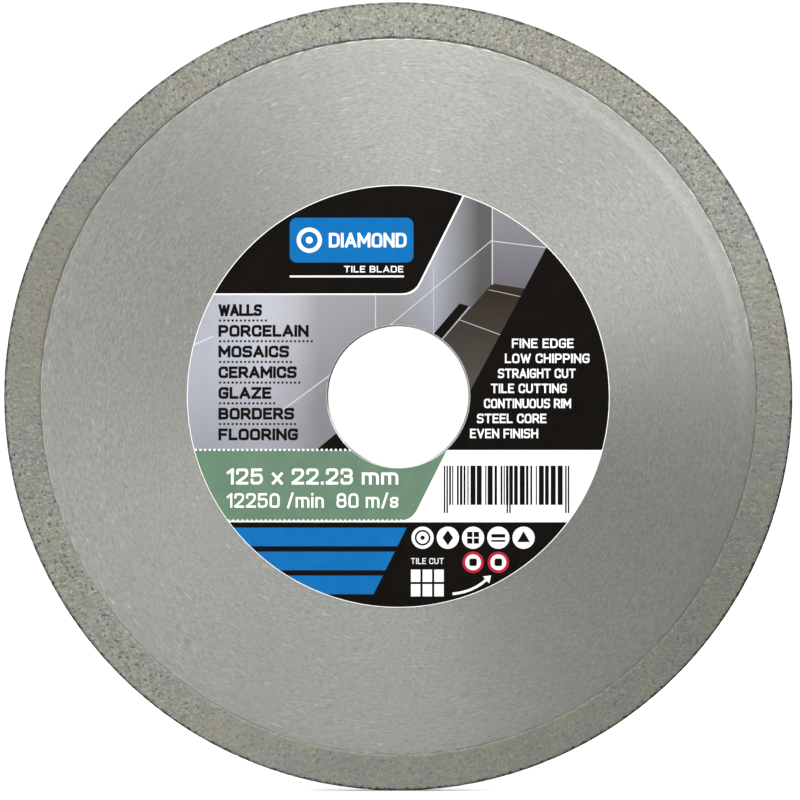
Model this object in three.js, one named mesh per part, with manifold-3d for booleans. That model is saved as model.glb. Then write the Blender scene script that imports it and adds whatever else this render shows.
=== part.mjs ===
// A 125 mm diamond blade for tile: a keyed steel core, a continuous sintered diamond rim
// and a self-adhesive paper label. Millimetres, +Z up. The blade stands upright as it does on
// a spindle: its axis is +Y, its labelled front faces -Y, and the origin is the bore's centre.

import * as THREE from "three";
import { mergeVertices } from "three/addons/utils/BufferGeometryUtils.js";
import Module from "manifold-3d";

// Driving dimensions
const BLADE_DIAMETER = 125;
const BORE_DIAMETER = 22.23;
const CORE_THICKNESS = 1.2;
const RIM_THICKNESS = 1.6;
const RIM_HEIGHT = 5.7; // the part of the blade's radius that the rim covers
const LABEL_DIAMETER = 67;
const LABEL_HOLE_MARGIN = 0.25; // the label stops this far outside the bore
const PAPER_THICKNESS = 0.1;
const ADHESIVE_THICKNESS = 0.05;
const ADHESIVE_INSET = 0.2; // the glue stops short of the paper's edges

// Details of the core
const BORE_CHAMFER = 0.2;
const RELIEF_WIDTH = 2.3; // the core thins over this width as it meets the rim
const RELIEF_DEPTH = 0.05;
const TOOTH_COUNT = 36; // dovetails on the core's edge, which lock the sintered rim
const TOOTH_ROOT_COVER = 0.6; // how far under the rim's lips the teeth start
const TOOTH_HEIGHT = 1.8;
const TOOTH_ROOT_WIDTH = 4.4;
const TOOTH_TIP_WIDTH = 5.4;

// Details of the rim
const OUTER_EDGE_RADIUS = 0.3;
const LIP_CHAMFER = 0.1; // on the lips, where the rim steps down to the core
const BOND_GAP = 0.05; // between the teeth and the groove that holds them

// Facets
const RIM_SEGMENTS = 144;
const BORE_SEGMENTS = 96;
const LABEL_SEGMENTS = 96;
const EDGE_ARC_STEPS = 2;
const TOOTH_ARC_STEPS = 2;

// Worked out from the above
const BLADE_RADIUS = BLADE_DIAMETER / 2;
const BORE_RADIUS = BORE_DIAMETER / 2;
const HALF_CORE = CORE_THICKNESS / 2;
const HALF_RIM = RIM_THICKNESS / 2;
const RIM_INNER_RADIUS = BLADE_RADIUS - RIM_HEIGHT;
const HALF_TONGUE = HALF_CORE - RELIEF_DEPTH;
const TOOTH_ROOT_RADIUS = RIM_INNER_RADIUS + TOOTH_ROOT_COVER;
const TOOTH_TIP_RADIUS = TOOTH_ROOT_RADIUS + TOOTH_HEIGHT;
const LABEL_RADIUS = LABEL_DIAMETER / 2;
const LABEL_HOLE_RADIUS = BORE_RADIUS + LABEL_HOLE_MARGIN;
const CUTTER_REACH = 1; // how far the cutting shapes stand past the faces that they cut

const wasm = await Module();
wasm.setup();

// A closed geometry as a solid, which can be cut and joined.
function toSolid(geometry) {
  const shell = geometry.clone();
  shell.deleteAttribute("normal");
  shell.deleteAttribute("uv");
  const merged = mergeVertices(shell, 1e-4);
  return new wasm.Manifold(
    new wasm.Mesh({
      numProp: 3,
      vertProperties: new Float32Array(merged.attributes.position.array),
      triVerts: new Uint32Array(merged.index.array),
    }),
  );
}

// A solid as a geometry with flat shading.
function toGeometry(solid) {
  const mesh = solid.getMesh();
  const indexed = new THREE.BufferGeometry()
    .setAttribute("position", new THREE.BufferAttribute(mesh.vertProperties, 3))
    .setIndex(new THREE.BufferAttribute(mesh.triVerts, 1));
  const geometry = indexed.toNonIndexed();
  geometry.computeVertexNormals();
  return geometry;
}

// The shape swept round the Y axis by a profile of [radius, y] points, which runs
// anticlockwise. A profile off the axis is closed back to its first point.
function turned(profile, segments) {
  const points = profile.map(([radius, y]) => new THREE.Vector2(radius, y));
  const offAxis = points[0].x > 0 || points.at(-1).x > 0;
  if (offAxis) points.push(points[0].clone());
  return new THREE.LatheGeometry(points, segments);
}

// A flat plate of the outline, centred on y = 0.
function plate(outline, thickness) {
  const shape = new THREE.Shape(outline);
  const geometry = new THREE.ExtrudeGeometry(shape, {
    depth: thickness,
    bevelEnabled: false,
  });
  return geometry.translate(0, 0, -thickness / 2).rotateX(Math.PI / 2);
}

// A disc with dovetail teeth round its edge, grown outwards by `grow`.
function toothedOutline(grow) {
  const rootRadius = TOOTH_ROOT_RADIUS + grow;
  const tipRadius = TOOTH_TIP_RADIUS + grow;
  const rootHalfAngle = (TOOTH_ROOT_WIDTH / 2 + grow) / rootRadius;
  const tipHalfAngle = (TOOTH_TIP_WIDTH / 2 + grow) / tipRadius;
  const pitch = (2 * Math.PI) / TOOTH_COUNT;
  const outline = [];
  const addArc = (radius, from, to) => {
    for (let step = 0; step <= TOOTH_ARC_STEPS; step++) {
      const angle = from + ((to - from) * step) / TOOTH_ARC_STEPS;
      outline.push(
        new THREE.Vector2(radius * Math.cos(angle), radius * Math.sin(angle)),
      );
    }
  };
  for (let tooth = 0; tooth < TOOTH_COUNT; tooth++) {
    const middle = tooth * pitch;
    addArc(tipRadius, middle - tipHalfAngle, middle + tipHalfAngle);
    addArc(rootRadius, middle + rootHalfAngle, middle + pitch - rootHalfAngle);
  }
  return outline;
}

// What the bore removes: a cylinder that opens into a 45 degree chamfer at each face.
function boreCutter() {
  const mouth = HALF_CORE + CUTTER_REACH;
  const mouthRadius = BORE_RADIUS + BORE_CHAMFER + CUTTER_REACH;
  const wallEnd = HALF_CORE - BORE_CHAMFER;
  return turned(
    [
      [0, -mouth],
      [mouthRadius, -mouth],
      [BORE_RADIUS, -wallEnd],
      [BORE_RADIUS, wallEnd],
      [mouthRadius, mouth],
      [0, mouth],
    ],
    BORE_SEGMENTS,
  );
}

// What thins one face of the core towards its edge. `side` is -1 at the front and 1 at the back.
function reliefCutter(side) {
  const outside = TOOTH_TIP_RADIUS + CUTTER_REACH;
  const profile = [
    [RIM_INNER_RADIUS - RELIEF_WIDTH, side * HALF_CORE],
    [RIM_INNER_RADIUS, side * HALF_TONGUE],
    [outside, side * HALF_TONGUE],
    [outside, side * (HALF_CORE + CUTTER_REACH)],
    [RIM_INNER_RADIUS - RELIEF_WIDTH, side * (HALF_CORE + CUTTER_REACH)],
  ];
  return turned(side > 0 ? profile : profile.reverse(), RIM_SEGMENTS);
}

function steelCoreGeometry() {
  const blank = toSolid(plate(toothedOutline(0), CORE_THICKNESS));
  const core = blank
    .subtract(toSolid(boreCutter()))
    .subtract(toSolid(reliefCutter(-1)))
    .subtract(toSolid(reliefCutter(1)));
  return toGeometry(core);
}

// A quarter round from one face of the rim to its cutting edge.
function edgeArc(side) {
  const arc = [];
  for (let step = 0; step <= EDGE_ARC_STEPS; step++) {
    const angle = ((Math.PI / 2) * step) / EDGE_ARC_STEPS;
    arc.push([
      BLADE_RADIUS - OUTER_EDGE_RADIUS * (1 - Math.sin(angle)),
      side * (HALF_RIM - OUTER_EDGE_RADIUS * (1 - Math.cos(angle))),
    ]);
  }
  return arc;
}

function diamondRimGeometry() {
  const ring = turned(
    [
      [RIM_INNER_RADIUS, -(HALF_RIM - LIP_CHAMFER)],
      [RIM_INNER_RADIUS + LIP_CHAMFER, -HALF_RIM],
      ...edgeArc(-1),
      ...edgeArc(1).reverse(),
      [RIM_INNER_RADIUS + LIP_CHAMFER, HALF_RIM],
      [RIM_INNER_RADIUS, HALF_RIM - LIP_CHAMFER],
    ],
    RIM_SEGMENTS,
  );
  const grooveThickness = 2 * (HALF_TONGUE + BOND_GAP);
  const groove = plate(toothedOutline(BOND_GAP), grooveThickness);
  return toGeometry(toSolid(ring).subtract(toSolid(groove)));
}

// A flat ring in front of the core, from `behind` to `front` along Y.
function flatRing(innerRadius, outerRadius, front, behind) {
  return turned(
    [
      [innerRadius, front],
      [outerRadius, front],
      [outerRadius, behind],
      [innerRadius, behind],
    ],
    LABEL_SEGMENTS,
  );
}

const CORE_FRONT = -HALF_CORE;
const ADHESIVE_FRONT = CORE_FRONT - ADHESIVE_THICKNESS;
const PAPER_FRONT = ADHESIVE_FRONT - PAPER_THICKNESS;

const labelAdhesiveGeometry = () =>
  flatRing(
    LABEL_HOLE_RADIUS + ADHESIVE_INSET,
    LABEL_RADIUS - ADHESIVE_INSET,
    ADHESIVE_FRONT,
    CORE_FRONT,
  );

const labelPaperGeometry = () =>
  flatRing(LABEL_HOLE_RADIUS, LABEL_RADIUS, PAPER_FRONT, ADHESIVE_FRONT);

const materials = {
  groundSteel: new THREE.MeshStandardMaterial({
    color: 0xb4b6b0,
    roughness: 0.38,
    metalness: 1,
  }),
  sinteredMetal: new THREE.MeshStandardMaterial({
    color: 0xa09f90,
    roughness: 0.62,
    metalness: 0.8,
  }),
  adhesive: new THREE.MeshStandardMaterial({
    color: 0xe6dfc4,
    roughness: 0.5,
    metalness: 0,
  }),
  paper: new THREE.MeshStandardMaterial({
    color: 0xf4f4f2,
    roughness: 0.35,
    metalness: 0,
  }),
};

function subPart(name, geometry, material) {
  const mesh = new THREE.Mesh(geometry, material);
  mesh.name = name;
  return mesh;
}

const blade = new THREE.Group();
blade.add(
  subPart("steel_core", steelCoreGeometry(), materials.groundSteel),
  subPart("diamond_rim", diamondRimGeometry(), materials.sinteredMetal),
  subPart("label_adhesive", labelAdhesiveGeometry(), materials.adhesive),
  subPart("label_paper", labelPaperGeometry(), materials.paper),
);

export default blade;
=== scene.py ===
import math
import random

import bmesh
import bpy
import numpy as np
from mathutils import Euler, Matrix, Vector, noise
from mathutils.geometry import delaunay_2d_cdt


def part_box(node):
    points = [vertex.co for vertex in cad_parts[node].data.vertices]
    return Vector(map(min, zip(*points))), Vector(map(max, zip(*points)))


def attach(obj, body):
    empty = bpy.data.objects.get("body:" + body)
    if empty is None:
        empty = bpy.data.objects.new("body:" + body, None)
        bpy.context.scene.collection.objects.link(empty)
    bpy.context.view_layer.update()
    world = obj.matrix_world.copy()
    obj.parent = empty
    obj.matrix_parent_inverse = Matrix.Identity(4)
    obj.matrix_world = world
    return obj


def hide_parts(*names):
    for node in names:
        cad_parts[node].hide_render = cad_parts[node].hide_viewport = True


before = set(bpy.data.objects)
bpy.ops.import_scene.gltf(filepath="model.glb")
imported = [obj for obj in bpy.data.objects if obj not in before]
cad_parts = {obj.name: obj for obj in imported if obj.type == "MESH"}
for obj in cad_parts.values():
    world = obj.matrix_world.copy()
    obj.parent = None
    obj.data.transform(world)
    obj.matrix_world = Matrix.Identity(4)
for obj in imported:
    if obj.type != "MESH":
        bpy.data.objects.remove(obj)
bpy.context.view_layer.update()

MM = 0.001
TURN = 2 * math.pi


def least_radius(node):
    """The radius of a node's hole round the blade's axis, which is Y."""
    return min(math.hypot(v.co.x, v.co.z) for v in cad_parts[node].data.vertices)


# The blade's own sizes, in metres, from the frame
BLADE_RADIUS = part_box("diamond_rim")[1].x
HALF_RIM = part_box("diamond_rim")[1].y
RIM_INNER_RADIUS = least_radius("diamond_rim")
HALF_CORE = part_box("steel_core")[1].y
BORE_RADIUS = least_radius("steel_core")
TOOTH_TIP_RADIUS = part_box("steel_core")[1].x
LABEL_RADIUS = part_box("label_paper")[1].x
LABEL_HOLE_RADIUS = least_radius("label_paper")
PAPER_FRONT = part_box("label_paper")[0].y
PAPER_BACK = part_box("label_paper")[1].y
GLUE_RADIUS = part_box("label_adhesive")[1].x
GLUE_HOLE_RADIUS = least_radius("label_adhesive")

# Fine shape that the frame's solids only outline
CIRCLE_STEPS = 720
BORE_CHAMFER = 0.2 * MM
EDGE_ROUND = 0.04 * MM
RELIEF_WIDTH = 2.3 * MM
RELIEF_DEPTH = 0.07 * MM
TOOTH_COUNT = 36
TOOTH_HEIGHT = 1.8 * MM
TOOTH_ROOT_WIDTH = 4.4 * MM
TOOTH_TIP_WIDTH = 5.4 * MM
BOND_GAP = 0.05 * MM
RIM_EDGE_RADIUS = 0.3 * MM
RIM_WALL_POINT = 0.1 * MM  # from the middle to where the rim's inner wall is divided
RIM_EDGE_POINT = 0.15 * MM  # from the middle to where its cutting edge is divided
LIP_WIDTH = 0.12 * MM  # the rim's lip slopes down to the core over this width
LIP_DEPTH = 0.05 * MM
SHOULDER_WIDTH = 0.2 * MM  # the core's own narrow slope beside the lip
SHOULDER_DROP = 0.01 * MM
POWDER_DEPTH = 0.035 * MM  # how deep the hollows in the pressed powder are
POWDER_GRAIN = 0.45 * MM
GRIT_STAND = 0.02 * MM  # how far the diamonds stand out of the metal that holds them
PAPER_ROUND = 0.02 * MM
INK_THICKNESS = 0.012 * MM
INK_MARGIN = 0.13 * MM  # bare paper round the printing
INK_HOLE_MARGIN = 0.03 * MM  # bare paper between the printing and the hole

# Mesh steps, and the angles in degrees above which an edge is sharp
CORE_STEP = 4.0 * MM
RIM_STEP = 0.34 * MM
RIM_CIRCLE_STEPS = 2 * CIRCLE_STEPS
LABEL_CIRCLE_STEPS = 360
CORE_SHARP = 20
RIM_SHARP = 40
PAPER_SHARP = 50

# Directions on the front of the blade, as clock angles in degrees from the top, towards which light or
# shade is painted
TOP = 0
UPPER_SIDE = 15
# Towards this side a highlight is painted on the core
ARC_HIGHLIGHT_SIDE = 57
# On these two sides shade is painted into the steel's and the rim's colour
SHADED_STEEL_SIDE = 130
SHADED_RIM_SIDE = 150
LOWER_SIDE = 240


# ---------------- mesh helpers


def add_object(name, data):
    made = bpy.data.objects.new(name, data)
    bpy.context.scene.collection.objects.link(made)
    return made


def add_piece(name, mesh, material, slot, *nodes):
    """Puts a finished mesh into the scene as a piece of the blade."""
    piece = add_object(name, mesh)
    mesh.materials.append(material)
    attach(piece, "root")
    if nodes:
        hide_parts(*nodes)
    return piece


def smooth_by_angle(mesh, degrees):
    mesh.shade_smooth()
    mesh.set_sharp_from_angle(angle=math.radians(degrees))


def mesh_from(name, vertices, faces):
    """A mesh with its faces pointing outwards."""
    mesh = bpy.data.meshes.new(name)
    mesh.from_pydata(vertices, [], faces)
    shell = bmesh.new()
    shell.from_mesh(mesh)
    bmesh.ops.recalc_face_normals(shell, faces=shell.faces)
    shell.to_mesh(mesh)
    shell.free()
    return mesh


def turned(name, profile, steps=CIRCLE_STEPS):
    """A closed mesh swept round the Y axis by a closed profile of (radius, y) points."""
    count = len(profile)
    vertices = []
    faces = []
    for step in range(steps):
        angle = TURN * step / steps
        here = step * count
        there = (step + 1) % steps * count
        for index, (radius, y) in enumerate(profile):
            after = (index + 1) % count
            vertices.append((radius * math.cos(angle), y, radius * math.sin(angle)))
            faces.append((here + index, here + after, there + after, there + index))
    return mesh_from(name, vertices, faces)


def both_sides(half_profile):
    """A closed profile from its back half, which runs outwards at y above 0."""
    front_half = [(radius, -y) for radius, y in half_profile]
    return half_profile + front_half[::-1]


def even_steps(low, high, step):
    """Values from low to high, both included, about a step apart."""
    count = max(1, round((high - low) / step))
    return [low + (high - low) * index / count for index in range(count + 1)]


def quarter_round(centre_radius, centre_y, size, steps):
    """From the top of a round edge out to its side, as (radius, y) points."""
    angles = [math.pi / 2 * index / steps for index in range(steps + 1)]
    return [(centre_radius + size * math.sin(a), centre_y + size * math.cos(a)) for a in angles]


def toothed_plate(grow, half_thickness):
    """A plate with dovetail teeth round its edge, which holds the rim on the core."""
    tip_radius = TOOTH_TIP_RADIUS + grow
    root_radius = tip_radius - TOOTH_HEIGHT
    tip_half = (TOOTH_TIP_WIDTH / 2 + grow) / tip_radius
    root_half = (TOOTH_ROOT_WIDTH / 2 + grow) / root_radius
    pitch = TURN / TOOTH_COUNT
    outline = []
    for tooth in range(TOOTH_COUNT):
        middle = tooth * pitch
        arcs = [
            (tip_radius, middle - tip_half, middle + tip_half),
            (root_radius, middle + root_half, middle + pitch - root_half),
        ]
        for radius, start, end in arcs:
            for angle in even_steps(start, end, pitch / 12):
                outline.append((radius * math.cos(angle), radius * math.sin(angle)))
    count = len(outline)
    vertices = [(x, -half_thickness, z) for x, z in outline]
    vertices += [(x, half_thickness, z) for x, z in outline]
    faces = [tuple(range(count)), tuple(range(2 * count - 1, count - 1, -1))]
    for index in range(count):
        after = (index + 1) % count
        faces.append((index, after, count + after, count + index))
    return mesh_from("toothed_plate", vertices, faces)


def combined(name, mesh, operation, cutter):
    """The mesh joined with or cut by another one."""
    body = add_object(name, mesh)
    tool = add_object(name + "_cutter", cutter)
    modifier = body.modifiers.new("cut", "BOOLEAN")
    modifier.operation = operation
    modifier.solver = "MANIFOLD"
    modifier.object = tool
    depsgraph = bpy.context.evaluated_depsgraph_get()
    result = bpy.data.meshes.new_from_object(body.evaluated_get(depsgraph))
    result.materials.clear()
    bpy.data.objects.remove(body)
    bpy.data.objects.remove(tool)
    return result


# ---------------- node helpers


def new_material(name):
    """A material, its node tree and its main shader."""
    material = bpy.data.materials.new(name)
    material.use_nodes = True
    tree = material.node_tree
    shader = tree.nodes["Principled BSDF"]
    return material, tree, shader


def fill(tree, made, inputs):
    """Sets a node's inputs, by name or number, to values or to other nodes' outputs."""
    for key, value in inputs.items():
        if isinstance(value, bpy.types.NodeSocket):
            tree.links.new(value, made.inputs[key])
        else:
            made.inputs[key].default_value = value


def node(tree, kind, inputs=None, **settings):
    """A new node with its settings and its inputs."""
    made = tree.nodes.new("ShaderNode" + kind)
    for key, value in settings.items():
        setattr(made, key, value)
    fill(tree, made, inputs or {})
    return made


def maths(tree, operation, *values):
    inputs = dict(enumerate(values))
    return node(tree, "Math", inputs, operation=operation).outputs[0]


def times(tree, product, *factors):
    for factor in factors:
        product = maths(tree, "MULTIPLY", product, factor)
    return product


def parts(tree, place):
    """A place's x, y and z."""
    return node(tree, "SeparateXYZ", {0: place}).outputs


def spread(tree, value, low, high, to_low=0.0, to_high=1.0):
    """The value mapped from one range to another and held inside it."""
    inputs = {"Value": value, "From Min": low, "From Max": high, "To Min": to_low, "To Max": to_high}
    return node(tree, "MapRange", inputs, interpolation_type="SMOOTHSTEP").outputs["Result"]


def noise_value(tree, place, scale, detail=2.0, roughness=0.5):
    inputs = {"Vector": place, "Scale": scale, "Detail": detail, "Roughness": roughness}
    return node(tree, "TexNoise", inputs).outputs["Fac"]


def cell_value(tree, place, scale):
    """A random value for each grain of a surface made of small round-edged grains."""
    inputs = {"Vector": place, "Scale": scale, "Smoothness": 0.35}
    cells = node(tree, "TexVoronoi", inputs, feature="SMOOTH_F1")
    return node(tree, "SeparateColor", {0: cells.outputs["Color"]}).outputs[0]


def blended(tree, factor, first, second, mode="MIX"):
    """A colour between two colours, or between the first and its product with the second."""
    inputs = {"Factor": factor}
    for slot, colour in ((6, first), (7, second)):
        inputs[slot] = (*colour, 1) if isinstance(colour, tuple) else colour
    return node(tree, "Mix", inputs, data_type="RGBA", blend_type=mode).outputs[2]


def ramp(tree, value, stops, colours):
    """A colour that runs smoothly through the colours, which lie at the stops."""
    place = node(tree, "MapRange", {"Value": value, "From Min": stops[0], "From Max": stops[-1]})
    made = node(tree, "ValToRGB", {0: place.outputs["Result"]})
    points = made.color_ramp.elements
    points[0].color = (*colours[0], 1)
    points[1].color = (*colours[-1], 1)
    for stop, colour in zip(stops[1:-1], colours[1:-1]):
        points.new((stop - stops[0]) / (stops[-1] - stops[0])).color = (*colour, 1)
    return made.outputs["Color"]


def millimetres(tree):
    """The place on the object, in millimetres."""
    place = node(tree, "TexCoord").outputs["Object"]
    return node(tree, "VectorMath", {0: place, "Scale": 1 / MM}, operation="SCALE").outputs[0]


def polar(tree, place):
    """The distance from the blade's axis, and the direction from it as x and z."""
    x, _, z = parts(tree, place)
    flat = node(tree, "CombineXYZ", {0: x, 2: z}).outputs[0]
    radius = node(tree, "VectorMath", {0: flat}, operation="LENGTH").outputs["Value"]
    return radius, maths(tree, "DIVIDE", x, radius), maths(tree, "DIVIDE", z, radius)


def circling(tree, place, per_turn, per_mm):
    """A texture place that changes slowly round the blade and fast along its radius."""
    radius, across, up = polar(tree, place)
    ways = times(tree, across, per_turn), times(tree, radius, per_mm), times(tree, up, per_turn)
    return node(tree, "CombineXYZ", dict(enumerate(ways))).outputs[0]


def towards(tree, across, up, clock, *limits):
    """How far a place lies towards a clock angle, in degrees, mapped as `spread` maps it.

    Before that it is 1 in that direction and 0 a quarter turn away.
    """
    clock = math.radians(clock)
    sideways = times(tree, across, math.sin(clock))
    upwards = times(tree, up, math.cos(clock))
    return spread(tree, maths(tree, "ADD", sideways, upwards), *limits)


def brushed_round(tree, shader, amount):
    """Makes a metal's highlights run out from the blade's axis, across its grinding marks."""
    tangent = node(tree, "Tangent", direction_type="RADIAL", axis="Y").outputs[0]
    inputs = {"Tangent": tangent, "Anisotropic": amount, "Anisotropic Rotation": 0.25}
    fill(tree, shader, inputs)


def bumpy(tree, shader, height, strength, depth):
    """Gives a surface fine relief up to a depth in metres."""
    bump = node(tree, "Bump", {"Height": height, "Strength": strength, "Distance": depth})
    fill(tree, shader, {"Normal": bump.outputs[0]})


# ---------------- materials

# Colours, as linear red, green and blue
DARK_STEEL = (0.385, 0.392, 0.362)
LIGHT_STEEL = (0.60, 0.607, 0.562)
BROAD_STREAK = (0.54, 0.545, 0.51)
CLOUDED_STEEL = (0.46, 0.47, 0.44)
BRIGHT_NICK = (0.74, 0.74, 0.72)
DARK_NICK = (0.27, 0.28, 0.26)
# the colour of the painted highlight where the core starts to thin
ARC_HIGHLIGHT_STEEL = (0.80, 0.81, 0.78)
# the colour of the painted highlight beside the rim's lip
LIP_HIGHLIGHT_STEEL = (0.88, 0.88, 0.85)
# a painted shade that darkens the steel on its lower right
STEEL_PAINTED_SHADE = (0.86, 0.86, 0.86)
GREY_BOND = (0.37, 0.373, 0.35)
GREEN_BOND = (0.40, 0.40, 0.33)
RUSTY_BOND = (0.395, 0.355, 0.285)
LIGHT_POWDER = (0.60, 0.60, 0.52)
DARK_POWDER = (0.24, 0.24, 0.21)
DARK_GRAIN = (0.25, 0.25, 0.22)
PORE = (0.11, 0.11, 0.095)
# a painted shade that darkens the rim on its lower right
RIM_PAINTED_SHADE = (0.865, 0.865, 0.865)
# the colour of the painted shadow on the rim's lip
LIP_SHADOW = (0.10, 0.10, 0.085)
CUTTING_EDGE = (0.5, 0.5, 0.49)
# the colour of the painted shade on the rim's rounded outer edges
EDGE_SHADE = (0.035, 0.035, 0.03)
CLOUDY_DIAMOND = (0.33, 0.33, 0.24)
CLEAR_DIAMOND = (0.62, 0.62, 0.46)
THIN_GLUE = (0.62, 0.57, 0.42)
THICK_GLUE = (0.72, 0.68, 0.54)
PAPER_SHADES = ((0.86, 0.86, 0.85), (0.90, 0.90, 0.89))
FLOOR_SHADES = ((0.9, 0.9, 0.9), (0.93, 0.93, 0.93))


def ground_steel():
    """Steel ground in circles: soft short scratches, a few brighter and darker nicks, with painted
    highlights and painted shade.
    """
    material, tree, shader = new_material("ground_steel")
    place = millimetres(tree)
    radius, across, up = polar(tree, place)
    fine = noise_value(tree, circling(tree, place, 60.0, 3.4), 1.0, 3.0, 0.6)
    broad = noise_value(tree, circling(tree, place, 14.0, 1.0), 1.0, 2.0, 0.55)
    nicks = noise_value(tree, circling(tree, place, 30.0, 2.6), 1.0, 0.0)
    sparse = noise_value(tree, place, 0.16, 1.0)
    cloud = noise_value(tree, place, 0.07, 2.0)

    grey = blended(tree, spread(tree, fine, 0.25, 0.75), DARK_STEEL, LIGHT_STEEL)
    grey = blended(tree, spread(tree, broad, 0.35, 0.7, 0, 0.35), grey, BROAD_STREAK)
    grey = blended(tree, spread(tree, cloud, 0.35, 0.7, 0, 0.3), grey, CLOUDED_STEEL)
    # Painted shade: the lower right is darker, and its nicks fade there as they would in shade
    painted_shade_side = towards(tree, across, up, SHADED_STEEL_SIDE, 0.7, 1.0)
    shown = spread(tree, sparse, 0.4, 0.62, 0.25, 1.0)
    shown = times(tree, shown, maths(tree, "SUBTRACT", 1.0, painted_shade_side))
    bright = times(tree, spread(tree, nicks, 0.7, 0.82, 0, 0.7), shown)
    dark = times(tree, spread(tree, nicks, 0.26, 0.18, 0, 0.5), shown)
    grey = blended(tree, bright, grey, BRIGHT_NICK)
    grey = blended(tree, dark, grey, DARK_NICK)

    # A painted highlight: a soft light arc where the core starts to thin, on one side only
    rim = RIM_INNER_RADIUS / MM
    fold = rim - RELIEF_WIDTH / MM
    inside_fold = spread(tree, radius, fold - 1.0, fold)
    outside_fold = spread(tree, radius, fold + 1.4, fold)
    lit_side = towards(tree, across, up, ARC_HIGHLIGHT_SIDE, 0.7, 0.95, 0, 0.24)
    painted_arc_highlight = times(tree, inside_fold, outside_fold, lit_side)
    grey = blended(tree, painted_arc_highlight, grey, ARC_HIGHLIGHT_STEEL)

    # A broken painted highlight beside the rim's lip, strongest above
    beside_lip = spread(tree, radius, rim - 0.36, rim - 0.22)
    upper_side = towards(tree, across, up, UPPER_SIDE, 0.2, 0.9, 0.35, 1.0)
    painted_lip_highlight = times(tree, beside_lip, spread(tree, nicks, 0.42, 0.7), upper_side)
    grey = blended(tree, painted_lip_highlight, grey, LIP_HIGHLIGHT_STEEL)
    # The painted shade on the lower right
    grey = blended(tree, painted_shade_side, grey, STEEL_PAINTED_SHADE, "MULTIPLY")

    roughness = spread(tree, fine, 0.3, 0.7, 0.40, 0.34)
    fill(tree, shader, {"Base Color": grey, "Roughness": roughness, "Metallic": 1.0})
    bumpy(tree, shader, maths(tree, "ADD", fine, times(tree, broad, 0.8)), 0.3, 0.012 * MM)
    brushed_round(tree, shader, 0.75)
    return material


def sintered_metal():
    """Pressed metal powder: mottled grey-green, full of pores, darker on its cutting edge, with painted
    shade and light.
    """
    material, tree, shader = new_material("sintered_metal")
    place = millimetres(tree)
    radius, across, up = polar(tree, place)
    patches = noise_value(tree, place, 0.3, 2.0)
    grain = noise_value(tree, place, 2.4, 2.0, 0.6)
    powder = cell_value(tree, place, 3.2)
    pores = cell_value(tree, place, 2.5)
    rust = noise_value(tree, place, 0.05, 2.0)
    chips = noise_value(tree, place, 1.1, 1.0)
    # Painted light: the powder marks show strongly towards the upper side and the lower left, where the
    # light falls, and faintly elsewhere
    upper_side = towards(tree, across, up, UPPER_SIDE, 0.2, 0.9, 0.42, 1.0)
    lower_side = towards(tree, across, up, LOWER_SIDE, 0.8, 1.0, 0.42, 0.9)
    painted_light_contrast = maths(tree, "MAXIMUM", upper_side, lower_side)
    # Painted shade: the rim's colour is darkened on its lower right
    painted_shade_side = towards(tree, across, up, SHADED_RIM_SIDE, 0.45, 0.95)

    colour = blended(tree, spread(tree, patches, 0.38, 0.62), GREY_BOND, GREEN_BOND)
    colour = blended(tree, spread(tree, rust, 0.5, 0.68, 0, 0.4), colour, RUSTY_BOND)
    marks = [
        (spread(tree, powder, 0.55, 1.0, 0, 0.7), LIGHT_POWDER),
        (spread(tree, powder, 0.45, 0.0, 0, 0.6), DARK_POWDER),
        (spread(tree, grain, 0.5, 0.3, 0, 0.5), DARK_GRAIN),
        (spread(tree, pores, 0.86, 0.93, 0, 0.75), PORE),
    ]
    # Each mark shows only as strongly as the painted light lets it
    for amount, mark in marks:
        colour = blended(tree, times(tree, amount, painted_light_contrast), colour, mark)
    # The painted shade on the lower right
    colour = blended(tree, painted_shade_side, colour, RIM_PAINTED_SHADE, "MULTIPLY")

    # A ragged painted shadow on the inner lip, strongest at the top, where the lip faces away from the
    # light
    ragged = maths(tree, "ADD", radius, spread(tree, grain, 0.3, 0.7, -0.18, 0.18))
    inner = RIM_INNER_RADIUS / MM
    lip = towards(tree, across, up, TOP, 0.82, 1.0, 0.1, 0.85)
    near_lip = spread(tree, ragged, inner + 0.3, inner + 0.1)
    lip = times(tree, near_lip, lip, spread(tree, chips, 0.35, 0.55, 0.45, 1.0))
    colour = blended(tree, lip, colour, LIP_SHADOW)

    # The darker cutting edge, and a ragged painted shade line round each face's rounded outer edge
    outer = BLADE_RADIUS / MM
    cutting = spread(tree, radius, outer - 0.25, outer - 0.1)
    colour = blended(tree, cutting, colour, CUTTING_EDGE, "MULTIPLY")
    depth = maths(tree, "ABSOLUTE", parts(tree, place)[1])
    near_edge = spread(tree, ragged, outer - 0.52, outer - 0.28, 0, 0.9)
    off_middle = spread(tree, depth, 0.3, 0.55)
    painted_edge_shade = times(tree, near_edge, off_middle, spread(tree, chips, 0.38, 0.58, 0.4, 1.0))
    colour = blended(tree, painted_edge_shade, colour, EDGE_SHADE)

    roughness = spread(tree, grain, 0.3, 0.7, 0.56, 0.42)
    fill(tree, shader, {"Base Color": colour, "Roughness": roughness, "Metallic": 0.95})
    hollows = maths(tree, "SUBTRACT", grain, spread(tree, pores, 0.8, 0.93))
    bumpy(tree, shader, hollows, 0.4, 0.04 * MM)
    brushed_round(tree, shader, 0.6)
    return material


def diamond_grit():
    """Synthetic diamond: pale yellow-green crystals, some clear and some cloudy."""
    material, tree, shader = new_material("diamond_grit")
    place = millimetres(tree)
    kind = noise_value(tree, place, 1.7, 0.0)
    colour = blended(tree, spread(tree, kind, 0.4, 0.6), CLOUDY_DIAMOND, CLEAR_DIAMOND)
    roughness = spread(tree, kind, 0.4, 0.6, 0.2, 0.4)
    fill(tree, shader, {"Base Color": colour, "Roughness": roughness, "IOR": 2.4})
    return material


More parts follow.
